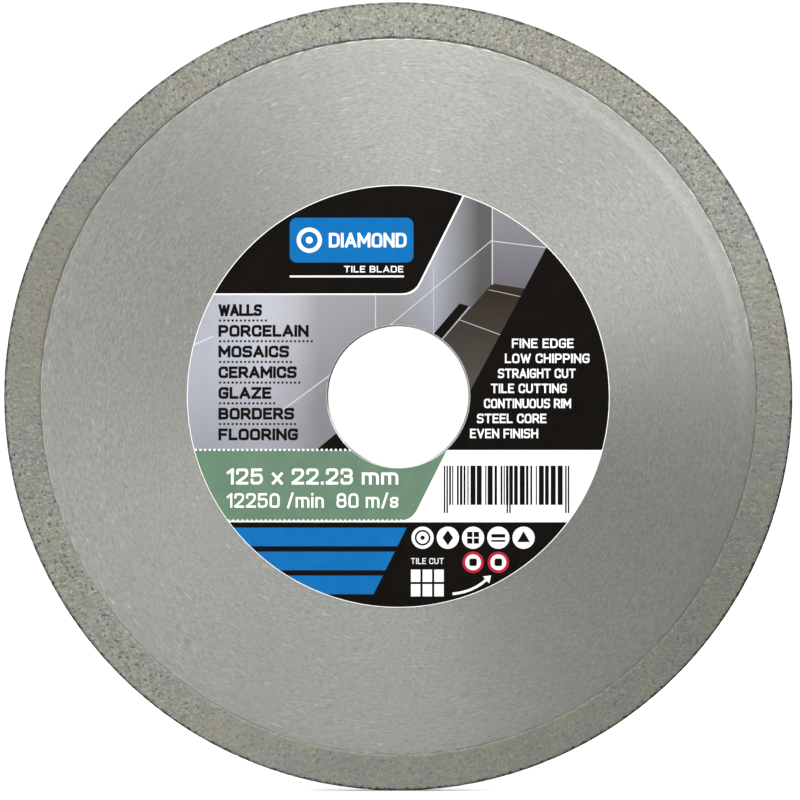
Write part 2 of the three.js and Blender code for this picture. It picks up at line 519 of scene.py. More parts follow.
def printed(name, colours, shading=None, shadow=None):
    """Ink on coated paper, or the paper itself, with its faint mottle.

    `shading` is the axis that the colours run along and where they lie on it. `shadow` darkens
    the ink downwards: how far it leans along x, where it starts and ends, and the colour that
    it multiplies by at its end.
    """
    material, tree, shader = new_material(name)
    place = millimetres(tree)
    mottle = noise_value(tree, place, 0.35, 3.0, 0.6)
    fibre = noise_value(tree, place, 6.0, 2.0)
    tone = maths(tree, "ADD", times(tree, mottle, 0.7), times(tree, fibre, 0.3))
    if shading:
        axis, stops = shading
        along = maths(tree, "ADD", parts(tree, place)[axis], times(tree, tone, 1.5))
        colour = ramp(tree, along, stops, colours)
    else:
        colour = blended(tree, spread(tree, tone, 0.35, 0.65), *colours)
    if shadow:
        lean, top, bottom, depth = shadow
        x, _, z = parts(tree, place)
        level = maths(tree, "SUBTRACT", z, times(tree, x, lean))
        colour = blended(tree, spread(tree, level, top, bottom), colour, depth, "MULTIPLY")
    roughness = spread(tree, fibre, 0.3, 0.7, 0.42, 0.5)
    inputs = {"Base Color": colour, "Roughness": roughness, "Specular IOR Level": 0.08}
    fill(tree, shader, inputs)
    bumpy(tree, shader, fibre, 0.05, 0.01 * MM)
    return material


def glue():
    """The edge of a clear-cream adhesive layer, a little cloudy."""
    material, tree, shader = new_material("label_glue")
    place = millimetres(tree)
    cloud = noise_value(tree, place, 0.8, 2.0)
    colour = blended(tree, spread(tree, cloud, 0.35, 0.65), THIN_GLUE, THICK_GLUE)
    fill(tree, shader, {"Base Color": colour, "Roughness": 0.35})
    return material


def pale_floor():
    """A matt, nearly white floor."""
    material, tree, shader = new_material("pale_floor")
    place = node(tree, "TexCoord").outputs["Object"]
    cloud = noise_value(tree, place, 1.5, 2.0)
    colour = blended(tree, cloud, *FLOOR_SHADES)
    fill(tree, shader, {"Base Color": colour, "Roughness": 0.9, "Specular IOR Level": 0.0})
    return material


# ---------------- core and rim


def core_piece():
    """The steel disc: chamfered bore, flat faces, thinner where it meets the rim, toothed edge."""
    relief_radius = RIM_INNER_RADIUS - RELIEF_WIDTH
    half_tongue = HALF_CORE - RELIEF_DEPTH
    outside = TOOTH_TIP_RADIUS + TOOTH_HEIGHT
    half_profile = [
        (BORE_RADIUS, HALF_CORE - BORE_CHAMFER),
        (BORE_RADIUS + BORE_CHAMFER - EDGE_ROUND, HALF_CORE - EDGE_ROUND),
        (BORE_RADIUS + BORE_CHAMFER + EDGE_ROUND, HALF_CORE),
    ]
    flat = even_steps(LABEL_HOLE_RADIUS, relief_radius, CORE_STEP)
    half_profile += [(radius, HALF_CORE) for radius in flat]
    shoulder = HALF_CORE - SHOULDER_DROP
    shoulder_radius = RIM_INNER_RADIUS - SHOULDER_WIDTH
    half_profile += [
        (shoulder_radius - 2 * EDGE_ROUND, shoulder),
        (shoulder_radius, shoulder - 0.1 * EDGE_ROUND),
        (RIM_INNER_RADIUS - EDGE_ROUND, half_tongue + 0.25 * EDGE_ROUND),
        (RIM_INNER_RADIUS, half_tongue),
        (outside, half_tongue),
    ]
    disc = turned("steel_disc", both_sides(half_profile))
    mesh = combined("steel_disc", disc, "INTERSECT", toothed_plate(0, 2 * HALF_CORE))
    smooth_by_angle(mesh, CORE_SHARP)
    return add_piece("ground_core", mesh, ground_steel(), "ground_steel", "steel_core")


def roughened(mesh, depth, scale):
    """Sinks the rim's open surfaces unevenly, as pressed powder leaves them."""
    for vertex in mesh.vertices:
        place = vertex.co
        radius = math.hypot(place.x, place.z)
        sink = depth * max(0.0, noise.noise(place * scale)) * 2
        if radius > BLADE_RADIUS - RIM_EDGE_RADIUS:
            inwards = Vector((place.x, 0, place.z)) / radius
            vertex.co = place - inwards * sink
        elif abs(place.y) > HALF_CORE + BOND_GAP and radius > RIM_INNER_RADIUS + LIP_WIDTH / 2:
            vertex.co.y = place.y - math.copysign(sink, place.y)


def rim_piece():
    """The continuous rim: raised lips over the core, rounded cutting edges, a toothed groove."""
    face = HALF_RIM - GRIT_STAND
    edge_centre = BLADE_RADIUS - GRIT_STAND - RIM_EDGE_RADIUS
    flat = even_steps(RIM_INNER_RADIUS + LIP_WIDTH, edge_centre, RIM_STEP)
    half_profile = [(RIM_INNER_RADIUS, RIM_WALL_POINT), (RIM_INNER_RADIUS, face - LIP_DEPTH)]
    half_profile += [(radius, face) for radius in flat[:-1]]
    half_profile += quarter_round(edge_centre, face - RIM_EDGE_RADIUS, RIM_EDGE_RADIUS, 5)
    half_profile += [(BLADE_RADIUS - GRIT_STAND, RIM_EDGE_POINT)]
    ring = turned("rim_ring", both_sides(half_profile), RIM_CIRCLE_STEPS)
    groove = toothed_plate(BOND_GAP, HALF_CORE - RELIEF_DEPTH + BOND_GAP)
    mesh = combined("rim_ring", ring, "DIFFERENCE", groove)
    roughened(mesh, POWDER_DEPTH, 1 / POWDER_GRAIN)
    smooth_by_angle(mesh, RIM_SHARP)
    return add_piece("sintered_rim", mesh, sintered_metal(), "sintered_diamond", "diamond_rim")


# ---------------- diamonds


GRIT_PER_MM2 = 1.3
GRIT_SIZE = (0.07 * MM, 0.14 * MM)
OCTAHEDRON = [(1, 0, 0), (-1, 0, 0), (0, 1, 0), (0, -1, 0), (0, 0, 1), (0, 0, -1)]
OCTAHEDRON_FACES = [
    (0, 2, 4), (2, 1, 4), (1, 3, 4), (3, 0, 4), (2, 0, 5), (1, 2, 5), (3, 1, 5), (0, 3, 5),
]


def grit_places(rng):
    """Random places on the rim's two faces and its edge, each with its outward direction."""
    inner = RIM_INNER_RADIUS + 0.25 * MM
    outer = BLADE_RADIUS - RIM_EDGE_RADIUS
    face_area = math.pi * (outer**2 - inner**2) / MM**2
    for side in (-1, 1):
        for _ in range(int(face_area * GRIT_PER_MM2)):
            radius = math.sqrt(rng.uniform(inner**2, outer**2))
            angle = rng.uniform(0, TURN)
            place = Vector((radius * math.cos(angle), side * HALF_RIM, radius * math.sin(angle)))
            yield place, Vector((0, side, 0))
    half_width = HALF_RIM - RIM_EDGE_RADIUS
    edge_area = TURN * BLADE_RADIUS * 2 * half_width / MM**2
    for _ in range(int(edge_area * GRIT_PER_MM2)):
        angle = rng.uniform(0, TURN)
        outwards = Vector((math.cos(angle), 0, math.sin(angle)))
        yield outwards * BLADE_RADIUS + Vector((0, rng.uniform(-half_width, half_width), 0)), outwards


def grit_piece():
    """The diamonds that show: small crystals sunk in the rim so that each one's top stands out."""
    rng = random.Random(125)
    vertices = []
    faces = []
    for place, outwards in grit_places(rng):
        size = rng.uniform(*GRIT_SIZE)
        turn = Euler([rng.uniform(0, TURN) for _ in range(3)])
        corners = [Vector(corner) * size * rng.uniform(0.8, 1.0) for corner in OCTAHEDRON]
        for corner in corners:
            corner.rotate(turn)
        top = max(corner.dot(outwards) for corner in corners)
        centre = place - outwards * (top + rng.uniform(0, 0.5) * GRIT_STAND)
        first = len(vertices)
        vertices += [centre + corner for corner in corners]
        faces += [tuple(first + index for index in face) for face in OCTAHEDRON_FACES]
    mesh = mesh_from("diamond_grit", vertices, faces)
    return add_piece("exposed_diamonds", mesh, diamond_grit(), "sintered_diamond")


# ---------------- label artwork

# Artwork is drawn in millimetres on the label's face: x to the right and z up from the bore's
# centre. Each shape is a list of (x, z) points, and a later shape covers an earlier one.

INK_RADIUS = (LABEL_RADIUS - INK_MARGIN) / MM
INK_HOLE_RADIUS = (LABEL_HOLE_RADIUS + INK_HOLE_MARGIN) / MM
SLANT = 0.5  # how far the artwork's slanted edges lean, in x for each z
FIELD_CORNER = 2.0
BARE = "bare"
BLACK = "black"
BLUE = "blue"
GREEN = "green"
RED = "red"
WALL = "wall"
FAR_WALL = "far_wall"
FLOOR = "floor"
GROUT = "grout"

TOP_FIELD_BOTTOM = 16.3
BAND_TOP = -8.5
BAND_BOTTOM = -19.7
LOWER_FIELD_TOP = -19.95
FAR = 40.0  # beyond the label's edge
WELD = 1e-4  # points nearer than this many millimetres are one point


def box_shape(left, right, bottom, top):
    return [(left, bottom), (right, bottom), (right, top), (left, top)]


def disc_shape(x, z, radius, steps=36):
    angles = [TURN * step / steps for step in range(steps)]
    return [(x + radius * math.cos(a), z + radius * math.sin(a)) for a in angles]


def round_box(left, right, bottom, top, corner, steps=6):
    """A box with round corners."""
    shape = []
    corners = [
        (right - corner, bottom + corner, -0.25),
        (right - corner, top - corner, 0.0),
        (left + corner, top - corner, 0.25),
        (left + corner, bottom + corner, 0.5),
    ]
    for x, z, start in corners:
        for step in range(steps + 1):
            angle = TURN * (start + 0.25 * step / steps)
            shape.append((x + corner * math.cos(angle), z + corner * math.sin(angle)))
    return shape


def bar_shape(start, end, width, overrun=0.0):
    """A straight bar between two points, which may run on past each."""
    along = (Vector(end) - Vector(start)).normalized()
    side = Vector((-along.y, along.x)) * width / 2
    start = Vector(start) - along * overrun
    end = Vector(end) + along * overrun
    return [tuple(corner) for corner in (start - side, end - side, end + side, start + side)]


def curve(start, middle, end, steps):
    """Points along a curve that leaves the start towards the middle and turns to the end."""
    points = []
    for step in range(steps + 1):
        t = step / steps
        points.append(tuple(start * (1 - t) ** 2 + middle * 2 * t * (1 - t) + end * t**2))
    return points


def bend(before, corner, after, size, steps=6):
    """A round corner between two lines, which starts at a distance from the corner."""
    corner = Vector(corner)
    start = corner + (Vector(before) - corner).normalized() * size
    end = corner + (Vector(after) - corner).normalized() * size
    return curve(start, corner, end, steps)


# Plain letters and digits, as strokes on a grid 6 high. Each glyph has its width, its strokes
# with sharp corners and its strokes with round corners.
CAP = 6.0
GAP = 2.0
STEM = [(0, 0), (0, 6)]
LOW_STEM = [(0, 0), (0, 4.2)]
GLYPHS = {
    "A": (4.4, [[(0, 0), (2.2, 6), (4.4, 0)], [(0.8, 1.7), (3.6, 1.7)]], []),
    "B": (
        3.9,
        [STEM],
        [[(0, 0), (3.9, 0), (3.9, 3.1), (0, 3.1)], [(0, 3.1), (3.7, 3.1), (3.7, 6), (0, 6)]],
    ),
    "C": (3.8, [], [[(3.8, 1.5), (3.8, 0), (0, 0), (0, 6), (3.8, 6), (3.8, 4.5)]]),
    "D": (4.0, [STEM], [[(0, 0), (4, 0), (4, 6), (0, 6)]]),
    "E": (3.4, [[(3.4, 0), (0, 0), (0, 6), (3.4, 6)], [(0, 3.1), (2.9, 3.1)]], []),
    "F": (3.4, [[(0, 0), (0, 6), (3.4, 6)], [(0, 2.9), (2.9, 2.9)]], []),
    "G": (3.9, [[(3.9, 2.8), (2.3, 2.8)]], [[(3.9, 2.8), (3.9, 0), (0, 0), (0, 6), (3.9, 6), (3.9, 5.2)]]),
    "H": (4.0, [STEM, [(4, 0), (4, 6)], [(0, 3.1), (4, 3.1)]], []),
    "I": (0.0, [STEM], []),
    "L": (3.2, [[(0, 6), (0, 0), (3.2, 0)]], []),
    "M": (5.0, [[(0, 0), (0, 6), (2.5, 1.9), (5, 6), (5, 0)]], []),
    "N": (4.1, [[(0, 0), (0, 6), (4.1, 0), (4.1, 6)]], []),
    "O": (4.0, [], [[(2, 0), (4, 0), (4, 6), (0, 6), (0, 0), (2, 0)]]),
    "P": (3.8, [STEM], [[(0, 2.5), (3.8, 2.5), (3.8, 6), (0, 6)]]),
    "R": (3.9, [STEM, [(2, 2.6), (3.9, 0)]], [[(0, 2.6), (3.8, 2.6), (3.8, 6), (0, 6)]]),
    "S": (
        3.8,
        [],
        [[(3.8, 5.4), (3.8, 6), (0, 6), (0, 3.1), (3.8, 3.1), (3.8, 0), (0, 0), (0, 0.7)]],
    ),
    "T": (4.0, [[(0, 6), (4, 6)], [(2, 0), (2, 6)]], []),
    "U": (4.0, [], [[(0, 6), (0, 0), (4, 0), (4, 6)]]),
    "V": (4.2, [[(0, 6), (2.1, 0), (4.2, 6)]], []),
    "W": (6.2, [[(0, 6), (1.6, 0), (3.1, 5.4), (4.6, 0), (6.2, 6)]], []),
    "Z": (3.8, [[(0, 6), (3.8, 6), (0, 0), (3.8, 0)]], []),
    "0": (3.8, [], [[(1.9, 0), (3.8, 0), (3.8, 6), (0, 6), (0, 0), (1.9, 0)]]),
    "1": (1.7, [[(0, 4.7), (1.7, 6), (1.7, 0)]], []),
    "2": (3.7, [[(0, 0.2), (0, 0), (3.7, 0)]], [[(0, 4.5), (0, 6), (3.7, 6), (3.7, 3.5), (0, 0.2)]]),
    "3": (
        3.7,
        [],
        [
            [(0, 4.6), (0, 6), (3.6, 6), (3.6, 3.1), (1.4, 3.1)],
            [(1.4, 3.1), (3.7, 3.1), (3.7, 0), (0, 0), (0, 1.4)],
        ],
    ),
    "5": (3.7, [[(3.4, 6), (0.2, 6), (0.1, 3.4)]], [[(0.1, 3.4), (3.7, 4), (3.7, 0), (0, 0), (0, 1.4)]]),
    "8": (
        3.8,
        [],
        [
            [(1.9, 3.1), (3.8, 3.1), (3.8, 0), (0, 0), (0, 3.1), (1.9, 3.1)],
            [(1.9, 3.1), (3.6, 3.1), (3.6, 6), (0.2, 6), (0.2, 3.1), (1.9, 3.1)],
        ],
    ),
    "x": (3.2, [[(0, 0), (3.2, 4.2)], [(0, 4.2), (3.2, 0)]], []),
    "m": (5.6, [LOW_STEM], [[(0, 4.2), (2.8, 4.2), (2.8, 0)], [(2.8, 4.2), (5.6, 4.2), (5.6, 0)]]),
    "i": (0.0, [LOW_STEM, [(0, 6), (0, 6.1)]], []),
    "n": (3.0, [LOW_STEM], [[(0, 4.2), (3, 4.2), (3, 0)]]),
    "s": (
        2.9,
        [],
        [[(2.9, 3.2), (2.9, 4.2), (0, 4.2), (0, 2.1), (2.9, 2.1), (2.9, 0), (0, 0), (0, 1)]],
    ),
    ".": (0.0, [[(0, 0), (0, 0.1)]], []),
    "/": (2.2, [[(0, -0.4), (2.2, 6.4)]], []),
    " ": (0.6, [], []),
}
CORNER = 2.0  # how far from a corner its curve starts, on the same grid
CORNER_STEPS = 4
MITRE_LIMIT = 0.5  # the least cosine that a mitre is stretched by


def rounded(line, size):
    """The line with its corners rounded. Two corners on a short stretch share it."""
    shape = [line[0]]
    for before, corner, after in zip(line, line[1:], line[2:]):
        room = min(math.dist(before, corner), math.dist(corner, after)) / 2
        shape += bend(before, corner, after, min(size, room), CORNER_STEPS)
    return shape + [line[-1]]


def ribbon(line, width):
    """The outline of a stroke along a line, with square ends and mitred corners."""
    points = [Vector(line[0])]
    for point in line[1:]:
        if math.dist(point, points[-1]) > 10 * WELD:
            points.append(Vector(point))
    half = width / 2
    points[0] += (points[0] - points[1]).normalized() * half
    points[-1] += (points[-1] - points[-2]).normalized() * half
    ways = [(after - before).normalized() for before, after in zip(points, points[1:])]
    left = []
    right = []
    for point, way_in, way_out in zip(points, ways[:1] + ways, ways + ways[-1:]):
        along = (way_in + way_out).normalized()
        side = Vector((-along.y, along.x))
        reach = half / max(abs(along.dot(way_in)), MITRE_LIMIT)
        left.append(tuple(point + side * reach))
        right.append(tuple(point - side * reach))
    return left + right[::-1]


def lettering(text, left, middle, width, height, weight=1.25):
    """A line of plain lettering fitted to a width and a cap height. Weight is in grid units."""
    total = sum(GLYPHS[letter][0] + GAP for letter in text) - GAP
    grow_z = height / (CAP + weight)
    stroke = weight * grow_z
    grow_x = (width - stroke) / total
    x = left + stroke / 2
    foot = middle - CAP / 2 * grow_z
    shapes = []
    for letter in text:
        advance, sharp, curved = GLYPHS[letter]
        for line in sharp:
            placed = [(x + a * grow_x, foot + b * grow_z) for a, b in line]
            for start, end in zip(placed, placed[1:]):
                shapes.append(bar_shape(start, end, stroke, stroke / 2))
        for line in curved:
            placed = [(x + a * grow_x, foot + b * grow_z) for a, b in line]
            shapes.append(ribbon(rounded(placed, CORNER * grow_z), stroke))
        x += (advance + GAP) * grow_x
    return shapes


def dotted_rule(left, right, z, pitch, size):
    shapes = []
    x = left
    while x < right:
        shapes.append(box_shape(x, x + size, z - size / 2, z + size / 2))
        x += pitch
    return shapes


def tiled_corner():
    """A plain drawing of a tiled corner: two walls, a floor and a drain channel."""
    far_wall = [(14.9, FAR), (14.9, 17.7), (20.5, 16.6), (30.0, FAR)]
    floor = [(14.9, 17.9), (12.0, 14.6), (0.0, 1.5), (6.4, BAND_TOP), (20.4, 17.0)]
    channel = [(9.7, 14.7), (11.2, 14.3), (5.6, 7.6), (3.8, 7.8)]
    drain = [(-13.0, BAND_TOP), (-9.4, -5.5), (-5.5, BAND_TOP)]
    joints = [
        ((-3.6, TOP_FIELD_BOTTOM), (-3.6, 9.0), 0.16),
        ((5.6, 20.4), (5.6, 9.8), 0.08),
        ((-2.0, 10.7), (14.8, 24.7), 0.14),
        ((14.9, FAR), (14.9, 17.7), 0.2),
        ((14.9, 24.6), (24.0, 23.5), 0.14),
        ((-18.5, -2.3), (-9.0, 4.7), 0.2),
        ((-33.0, 7.9), (-29.4, 9.5), 0.3),
        ((9.5, 12.2), (17.4, 9.3), 0.09),
        ((14.3, 16.9), (20.3, 15.6), 0.07),
        ((11.3, 14.2), (5.7, 7.5), 0.1),
    ]
    yield FAR_WALL, [far_wall]
    yield FLOOR, [floor]
    yield BLACK, [channel, drain]
    yield GROUT, [bar_shape(start, end, width) for start, end, width in joints]


def top_field():
    """The black field with the title panel, and the white line that borders it."""
    for ink, z, x in ((BARE, TOP_FIELD_BOTTOM - 0.25, 2.65), (BLACK, TOP_FIELD_BOTTOM, 2.45)):
        slope_end = (x + SLANT * (FAR - z), FAR)
        corner = bend((-FAR, z), (x, z), slope_end, FIELD_CORNER)
        yield ink, [[(-FAR, z), *corner, slope_end, (-FAR, FAR)]]
    left = -17.2
    middle = 24.75
    yield BLUE, [round_box(left, 2.4, 21.2, 28.3, 1.1)]
    for ink, radius, steps in ((BARE, 2.0, 36), (BLUE, 1.35, 36), (BARE, 0.55, 18)):
        yield ink, [disc_shape(-14.1, middle, radius, steps)]
    yield BARE, lettering("DIAMOND", -11.0, middle, 12.3, 2.3, 1.4)
    yield BARE, lettering("TILE BLADE", -8.6, 20.15, 9.4, 1.05, 1.3)
    yield BARE, [bar_shape((left, 19.0), (0.9, 19.0), 0.3)]


LEFT_ROWS = [("WALLS", 6.9), ("PORCELAIN", 14.3), ("MOSAICS", 11.2), ("CERAMICS", 12.4)]
LEFT_ROWS += [("GLAZE", 8.4), ("BORDERS", 12.0), ("FLOORING", 12.6)]
RIGHT_ROWS = [("FINE EDGE", 9.8), ("LOW CHIPPING", 13.4), ("STRAIGHT CUT", 12.3), ("TILE CUTTING", 12.0)]
RIGHT_ROWS += [("CONTINUOUS RIM", 13.8), ("STEEL CORE", 11.0), ("EVEN FINISH", 10.8)]


def left_rows():
    """Generic words for what the blade cuts, with dotted rules between them."""
    left = -28.5
    pitch = 3.28
    for row, (text, width) in enumerate(LEFT_ROWS):
        middle = 13.65 - row * pitch
        yield BLACK, lettering(text, left, middle, width, 1.88, 1.9)
        if row < len(LEFT_ROWS) - 1:
            rule = middle - pitch / 2
            yield BLACK, dotted_rule(left + 0.1, left + width + 0.5, rule, 0.66, 0.33)


def right_field():
    """The black field on the right, with generic words that follow its slanted edge."""
    edge = [(6.4, BAND_TOP), (23.8, 24.2), (32.2, FAR)]
    yield BLACK, [[edge[0], (FAR, BAND_TOP), (FAR, FAR), edge[2], edge[1]]]
    pitch = 2.38
    slant = 0.465
    for row, (text, width) in enumerate(RIGHT_ROWS):
        left = 18.0 - row * pitch * slant
        yield BARE, lettering(text, left, 8.4 - row * pitch, width, 1.5, 1.3)


def size_band():
    """The green band with the blade's size and speed, beside a white field."""
    yield BARE, [box_shape(-FAR, FAR, LOWER_FIELD_TOP, BAND_TOP)]
    right = 2.1
    slope_end = (right + SLANT * (BAND_TOP - BAND_BOTTOM), BAND_TOP)
    start = (-FAR, BAND_BOTTOM)
    corner = bend(start, (right, BAND_BOTTOM), slope_end, FIELD_CORNER)
    yield GREEN, [[start, *corner, slope_end, (-FAR, BAND_TOP)]]
    for end, z in ((1.5, BAND_TOP), (0.8, BAND_BOTTOM)):
        yield BARE, dotted_rule(-33.0, end, z + 0.02, 0.74, 0.34)
    left = -27.2
    width = 27.2
    yield BARE, lettering("125 x 22.23 mm", left, -12.7, width, 2.55)
    yield BARE, lettering("12250 /min  80 m/s", left, -16.5, width, 2.3, 1.1)


def bars():
    """Upright bars of uneven width that spell nothing, with three longer pairs."""
    rng = random.Random(22)
    left = 7.2
    right = 27.1
    top = -10.98
    bottom = -17.2
    long_bottom = -18.5
    long_width = 0.25
    shapes = []
    for pair in (left, (left + right) / 2, right - 0.67):
        for x in (pair, pair + 0.42):
            shapes.append(box_shape(x, x + long_width, long_bottom, top))
    x = left + 0.85
    while x < right - 1.3:
        width = rng.choice((0.2, 0.3, 0.4, 0.6, 0.8))
        shapes.append(box_shape(x, x + width, bottom, top))
        x += width + rng.choice((0.18, 0.18, 0.3, 0.55))
    yield BLACK, shapes


def lower_field():
    """The black field at the bottom with three blue stripes."""
    yield BLACK, [box_shape(-FAR, FAR, -FAR, LOWER_FIELD_TOP)]
    first_top = -20.8
    height = 2.95
    pitch = 3.8
    for stripe in range(3):
        top = first_top - pitch * stripe
        bottom = top - height
        end = 1.35 + SLANT * (top - first_top)
        slanted_end = [(end + SLANT * (bottom - top), bottom), (end, top)]
        yield BLUE, [[(-FAR, top), (-FAR, bottom), *slanted_end]]


def symbols():
    """Five white discs and two red rings, each with a plain geometric mark."""
    z = -22.4
    places = [3.85 + 4.0 * index for index in range(5)]
    for x in places:
        yield BARE, [disc_shape(x, z, 1.76)]
    rings, lozenge, squares, stripes, triangle = places
    for ink, radius, steps in ((BLACK, 1.25, 36), (BARE, 0.95, 36), (BLACK, 0.35, 16)):
        yield ink, [disc_shape(rings, z, radius, steps)]
    left = lozenge - 0.85
    right = lozenge + 0.85
    yield BLACK, [[(lozenge, z - 1.2), (right, z), (lozenge, z + 1.2), (left, z)]]
    half = 0.42
    for x in (squares - 0.52, squares + 0.52):
        for up in (z - 0.52, z + 0.52):
            yield BLACK, [box_shape(x - half, x + half, up - half, up + half)]
    for up, width in ((z + 0.3, 0.55), (z - 0.5, 0.3)):
        yield BLACK, [bar_shape((stripes - 1.1, up), (stripes + 1.1, up), width)]
    foot = z - 0.7
    yield BLACK, [[(triangle - 1.0, foot), (triangle + 1.0, foot), (triangle, z + 1.05)]]
    z = -26.3
    half = 0.6
    for x in (squares, stripes):
        yield RED, [disc_shape(x, z, 1.7)]
        yield BARE, [disc_shape(x, z, 1.25)]
        yield BLACK, [round_box(x - half, x + half, z - half, z + half, 0.3)]


def tile_mark():
    """A white grid of six tiles, with a small title."""
    left = 2.0
    for column in range(3):
        for row in range(2):
            x = left + 1.85 * column
            z = -29.4 - 2.3 * row
            yield BARE, [box_shape(x, x + 1.5, z, z + 1.95)]
    yield BARE, lettering("TILE CUT", left, -26.1, 5.2, 0.95, 1.0)


def turning_arrow():
    """A curved arrow for the direction in which the blade turns."""
    start = Vector((8.6, -31.3))
    middle = Vector((11.8, -31.0))
    end = Vector((13.9, -29.1))
    points = curve(start, middle, end, 8)
    for before, after in zip(points, points[1:]):
        yield BARE, [bar_shape(before, after, 0.42)]
    ahead = (end - middle).normalized()
    side = Vector((-ahead.y, ahead.x)) * 0.75
    yield BARE, [[tuple(end + ahead * 1.1), tuple(end + side), tuple(end - side)]]


def artwork():
    """All the label's shapes, each with its ink, from the lowest to the one on top."""
    yield WALL, [disc_shape(0, 0, INK_RADIUS, 240)]
    fields = (tiled_corner, top_field, left_rows, right_field, size_band, bars, lower_field)
    for drawing in (*fields, symbols, tile_mark, turning_arrow):
        yield from drawing()
    yield BARE, [disc_shape(0, 0, INK_HOLE_RADIUS, 180)]


def inside(shape, places):
    """Which places the shape holds: those that its outline winds round."""
    x, z = places.T
    turns = np.zeros(len(places), int)
    for (x0, z0), (x1, z1) in zip(shape, shape[1:] + shape[:1]):
        if z0 != z1:
            level = (z0 > z) != (z1 > z)
            beside = level & (x < x0 + (z - z0) * (x1 - x0) / (z1 - z0))
            turns[beside] += 1 if z1 > z0 else -1
    return turns != 0


def overlaid(shapes):
    """Splits overlapping shapes into triangles that don't overlap, each with its top ink."""
    points = []
    edges = []
    for _, group in shapes:
        for shape in group:
            first = len(points)
            count = len(shape)
            points += [Vector(point) for point in shape]
            edges += [(first + index, first + (index + 1) % count) for index in range(count)]
    corners, _, triangles, *_ = delaunay_2d_cdt(points, edges, [], 0, WELD, False)
    middles = [sum((corners[i] for i in triangle), Vector((0, 0))) / 3 for triangle in triangles]
    places = np.array(middles)
    top_ink = np.full(len(places), BARE, dtype=object)
    for ink, group in shapes:
        for shape in group:
            low = np.min(shape, axis=0)
            high = np.max(shape, axis=0)
            near = np.flatnonzero(((places >= low) & (places <= high)).all(axis=1))
            top_ink[near[inside(shape, places[near])]] = ink
    top_ink[np.hypot(*places.T) > INK_RADIUS] = BARE
    areas = {ink: [] for ink in INK_COLOURS}
    for triangle, ink in zip(triangles, top_ink):
        if ink != BARE:
            areas[ink].append(triangle)
    return corners, areas


def film(name, corners, triangles, front, back):
    """A thin closed film that covers the triangles."""
    used = {}
    for triangle in triangles:
        for index in triangle:
            used.setdefault(index, len(used))
    count = len(used)
    vertices = [(corners[index].x * MM, front, corners[index].y * MM) for index in used]
    vertices += [(x, back, z) for x, _, z in vertices]
    faces = []
    edges = {}
    for triangle in triangles:
        local = [used[index] for index in triangle]
        faces.append(tuple(local))
        faces.append(tuple(count + index for index in reversed(local)))
        for here, there in zip(local, local[1:] + local[:1]):
            edges[(here, there)] = (there, here)
    for (here, there), back_edge in edges.items():
        if back_edge not in edges:
            faces.append((there, here, count + here, count + there))
    mesh = bpy.data.meshes.new(name)
    mesh.from_pydata(vertices, [], faces)
    return mesh


# Each ink's colours: two that it's mottled with, or the ones that it's shaded with
INK_COLOURS = {
    BLACK: ((0.0045, 0.003, 0.002), (0.003, 0.002, 0.001)),
    BLUE: ((0.001, 0.118, 0.35), (0.002, 0.13, 0.38)),
    GREEN: ((0.108, 0.185, 0.125), (0.122, 0.205, 0.138)),
    RED: ((0.38, 0.01, 0.03), (0.45, 0.015, 0.04)),
    WALL: (
        (0.345, 0.355, 0.40),
        (0.42, 0.428, 0.475),
        (0.37, 0.372, 0.40),
        (0.272, 0.268, 0.292),
        (0.262, 0.256, 0.264),
        (0.318, 0.33, 0.368),
        (0.09, 0.088, 0.087),
    ),
    FAR_WALL: ((0.115, 0.11, 0.125), (0.20, 0.195, 0.21)),
    FLOOR: ((0.060, 0.057, 0.048), (0.026, 0.019, 0.012)),
    GROUT: ((0.45, 0.45, 0.475), (0.51, 0.51, 0.54)),
}
# The printed picture's shading: the axis it runs along (0 is x, 2 is z), and where on it, in
# millimetres, the colours lie
INK_SHADING = {
    WALL: (0, (-30.0, -20.5, -15.5, -12.0, 0.5, 6.5, 13.5)),
    FAR_WALL: (2, (17.5, 29.0)),
    FLOOR: (2, (2.0, 17.0)),
}
INK_SHADOWS = {WALL: (0.45, 22.0, 0.0, (0.68, 0.68, 0.69))}


def label_pieces():
    """The adhesive, the paper and one film for each printed colour."""
    profile = [
        (GLUE_HOLE_RADIUS, PAPER_BACK),
        (GLUE_RADIUS, PAPER_BACK),
        (GLUE_RADIUS, -HALF_CORE),
        (GLUE_HOLE_RADIUS, -HALF_CORE),
    ]
    layer = turned("label_glue", profile, LABEL_CIRCLE_STEPS)
    add_piece("label_glue", layer, glue(), "label_glue", "label_adhesive")

    profile = [
        (LABEL_HOLE_RADIUS, PAPER_BACK),
        (LABEL_HOLE_RADIUS, PAPER_FRONT + PAPER_ROUND),
        (LABEL_HOLE_RADIUS + PAPER_ROUND, PAPER_FRONT),
        (LABEL_RADIUS - PAPER_ROUND, PAPER_FRONT),
        (LABEL_RADIUS, PAPER_FRONT + PAPER_ROUND),
        (LABEL_RADIUS, PAPER_BACK),
    ]
    paper = turned("label_sheet", profile, LABEL_CIRCLE_STEPS)
    smooth_by_angle(paper, PAPER_SHARP)
    white = printed("coated_paper", PAPER_SHADES)
    add_piece("label_sheet", paper, white, "printed_paper", "label_paper")

    corners, areas = overlaid(list(artwork()))
    for ink, colours in INK_COLOURS.items():
        mesh = film(f"ink_{ink}", corners, areas[ink], PAPER_FRONT - INK_THICKNESS, PAPER_FRONT)
        material = printed(f"ink_{ink}", colours, INK_SHADING.get(ink), INK_SHADOWS.get(ink))
        add_piece(f"ink_{ink}", mesh, material, "printed_paper")


# ---------------- studio

